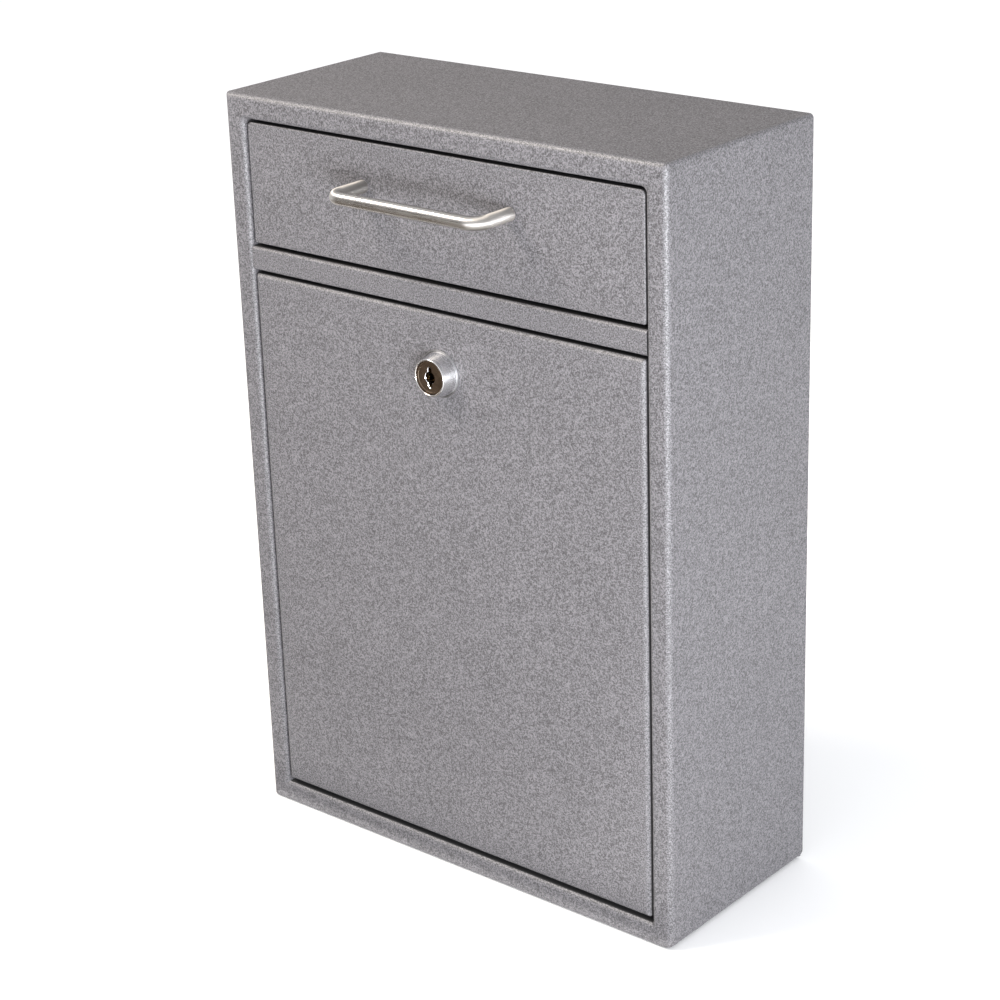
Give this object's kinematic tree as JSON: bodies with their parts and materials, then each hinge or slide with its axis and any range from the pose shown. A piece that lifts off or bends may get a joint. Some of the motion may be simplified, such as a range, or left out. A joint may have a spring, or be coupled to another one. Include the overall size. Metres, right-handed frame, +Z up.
{
  "type": "parcel drop box",
  "caption": "Wall-mounted sheet-steel drop box with a pull-down hopper, a bar handle, and a bottom-hinged door with a cam lock over a mail compartment.",
  "frame": {"origin": "centre of the underside of the cabinet, half way between its sides and half way between its front frame and its back", "axes": "+Z up, -Y out of the front where the doors are, +Y towards the wall, +X to the right as seen from the front"},
  "size_m": [0.2858, 0.1469, 0.4128],
  "materials": {
    "powder_coat": "semi-matt granite-grey powder coat with a fine speckle",
    "handle_steel": "satin, brushed along the bar",
    "lock_chrome": "polished plate",
    "lock_face": "dark polished plate",
    "wafer_brass": "plain stamped brass",
    "zinc_hardware": "bright zinc plate",
    "bumper_rubber": "matt black rubber",
    "spacer_nylon": "black nylon"
  },
  "bodies": {
    "cabinet": {"left_side": "powder_coat", "right_side": "powder_coat", "top_panel": "powder_coat", "bottom_panel": "powder_coat", "back_panel": "powder_coat", "divider_rail": "powder_coat", "lock_strike": "zinc_hardware", "mail_baffle": "powder_coat", "stop_tabs": "powder_coat", "stop_bumpers": "bumper_rubber", "door_hinge_pins": "zinc_hardware", "door_hinge_spacers": "spacer_nylon", "door_hinge_clips": "zinc_hardware", "hopper_hinge_pins": "zinc_hardware", "hopper_hinge_spacers": "spacer_nylon", "hopper_hinge_clips": "zinc_hardware"},
    "collection_door": {"door_panel": "powder_coat", "lock_body": "lock_chrome", "lock_base_ring": "lock_chrome", "lock_washer": "zinc_hardware", "lock_nut": "zinc_hardware"},
    "key_plug": {"lock_plug": "lock_face", "lock_wafers": "wafer_brass", "cam_washer": "zinc_hardware", "lock_cam": "zinc_hardware", "cam_screw": "zinc_hardware"},
    "hopper": {"hopper_panel": "powder_coat", "tray_floor": "powder_coat", "tray_cheeks": "powder_coat", "pull_handle": "handle_steel", "handle_screws": "zinc_hardware", "handle_washers": "zinc_hardware"}
  },
  "joints": [
    {"name": "door_swing", "type": "hinge", "parent": "cabinet", "child": "collection_door", "pos_m": [0, -0.05402, 0.021], "axis": [1, 0, 0], "range_deg": [0, 90]},
    {"name": "key_turn", "type": "hinge", "parent": "collection_door", "child": "key_plug", "pos_m": [0, -0.06032, 0.2854], "axis": [0, 1, 0], "range_deg": [0, 90]},
    {"name": "hopper_tip", "type": "hinge", "parent": "cabinet", "child": "hopper", "pos_m": [0, -0.05303, 0.3403], "axis": [1, 0, 0], "range_deg": [0, 38]}
  ]
}
